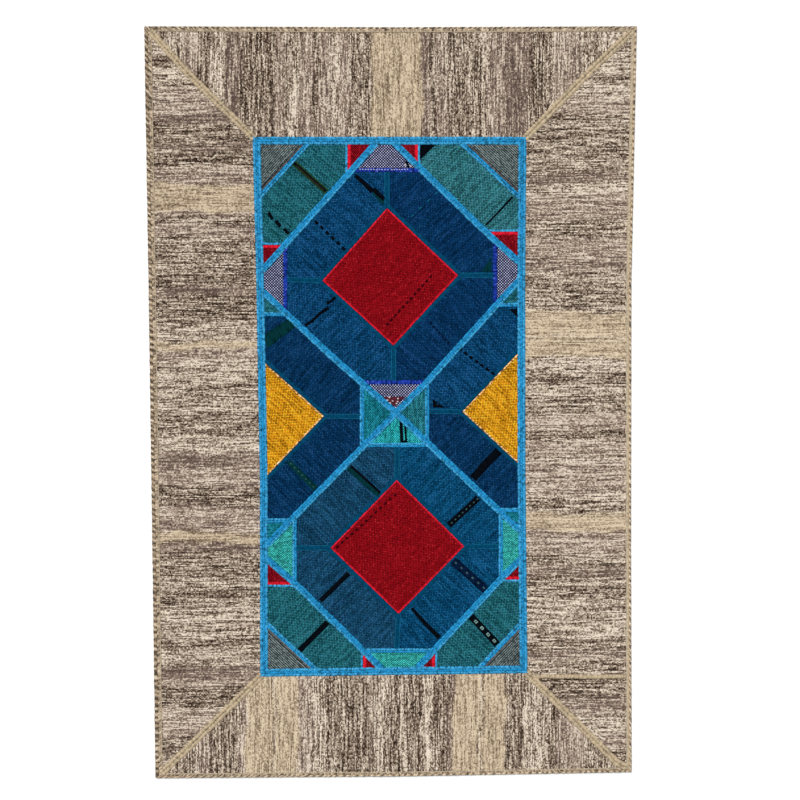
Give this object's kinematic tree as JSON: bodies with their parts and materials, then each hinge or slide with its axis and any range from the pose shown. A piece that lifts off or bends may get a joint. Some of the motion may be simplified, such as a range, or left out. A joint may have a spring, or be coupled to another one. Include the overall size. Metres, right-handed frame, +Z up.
{
  "type": "patchwork kilim rug",
  "caption": "Flat-woven patchwork rug: a blue, teal, red and yellow field of octagons and triangles, azure overcast seams, a striped beige border and a bound edge.",
  "frame": {"origin": "middle of the rug's outline, on the underside where it rests on the floor", "axes": "+X across the rug, +Y along it towards the end with the lilac tip, +Z up"},
  "size_m": [1.3096, 1.9996, 0.0046],
  "materials": {
    "teal": "flat-woven wool, deep teal",
    "grey": "flat-woven wool, grey with fine ribs",
    "red": "flat-woven wool, crimson",
    "ocean": "flat-woven wool, deep blue",
    "steel": "flat-woven wool, steel blue",
    "navy": "flat-woven wool, navy",
    "yellow": "flat-woven wool, warm yellow",
    "lilac": "flat-woven wool, fine check of lilac and near-black",
    "sea": "flat-woven wool, sea green",
    "leaf": "flat-woven wool, bright green",
    "moss": "flat-woven wool, grey green",
    "beige": "flat-woven undyed wool, striped beige and brown",
    "azure_yarn": "overcast wool yarn, azure",
    "khaki_yarn": "overcast wool yarn, khaki",
    "binding_yarn": "overcast wool yarn, khaki and brown"
  },
  "bodies": {
    "root": {"corner_tl_grey": "grey", "corner_tl_teal": "teal", "corner_tl_red_end": "red", "corner_tl_red_side": "red", "corner_tr_grey": "grey", "corner_tr_teal": "teal", "corner_tr_red_end": "red", "corner_tr_red_side": "red", "corner_bl_grey": "grey", "corner_bl_teal": "teal", "corner_bl_red_end": "red", "corner_bl_red_side": "red", "corner_br_grey": "grey", "corner_br_teal": "teal", "corner_br_red_end": "red", "corner_br_red_side": "red", "upper_diamond": "red", "upper_ring_nw": "ocean", "upper_ring_ne": "ocean", "upper_ring_se": "ocean", "upper_ring_sw": "ocean", "upper_tip_top": "lilac", "upper_tip_right": "lilac", "upper_tip_bottom": "lilac", "upper_tip_left": "lilac", "lower_diamond": "red", "lower_ring_nw": "steel", "lower_ring_ne": "steel", "lower_ring_se": "steel", "lower_ring_sw": "steel", "lower_tip_top": "leaf", "lower_tip_right": "sea", "lower_tip_bottom": "sea", "lower_tip_left": "sea", "left_small_top": "leaf", "left_navy_top": "navy", "left_yellow": "yellow", "left_navy_bottom": "navy", "left_small_bottom": "teal", "left_centre": "teal", "right_small_top": "leaf", "right_navy_top": "navy", "right_yellow": "yellow", "right_navy_bottom": "navy", "right_small_bottom": "teal", "right_centre": "moss", "panel_top": "beige", "panel_right": "beige", "panel_right_corner": "beige", "panel_bottom": "beige", "panel_left": "beige", "binding_top": "binding_yarn", "binding_right": "binding_yarn", "binding_bottom": "binding_yarn", "binding_left": "binding_yarn", "seam_blue_network": "azure_yarn", "seam_mitre_top_left": "khaki_yarn", "seam_mitre_top_right": "khaki_yarn", "seam_mitre_bottom_right": "khaki_yarn", "seam_mitre_bottom_left": "khaki_yarn"}
  },
  "joints": []
}
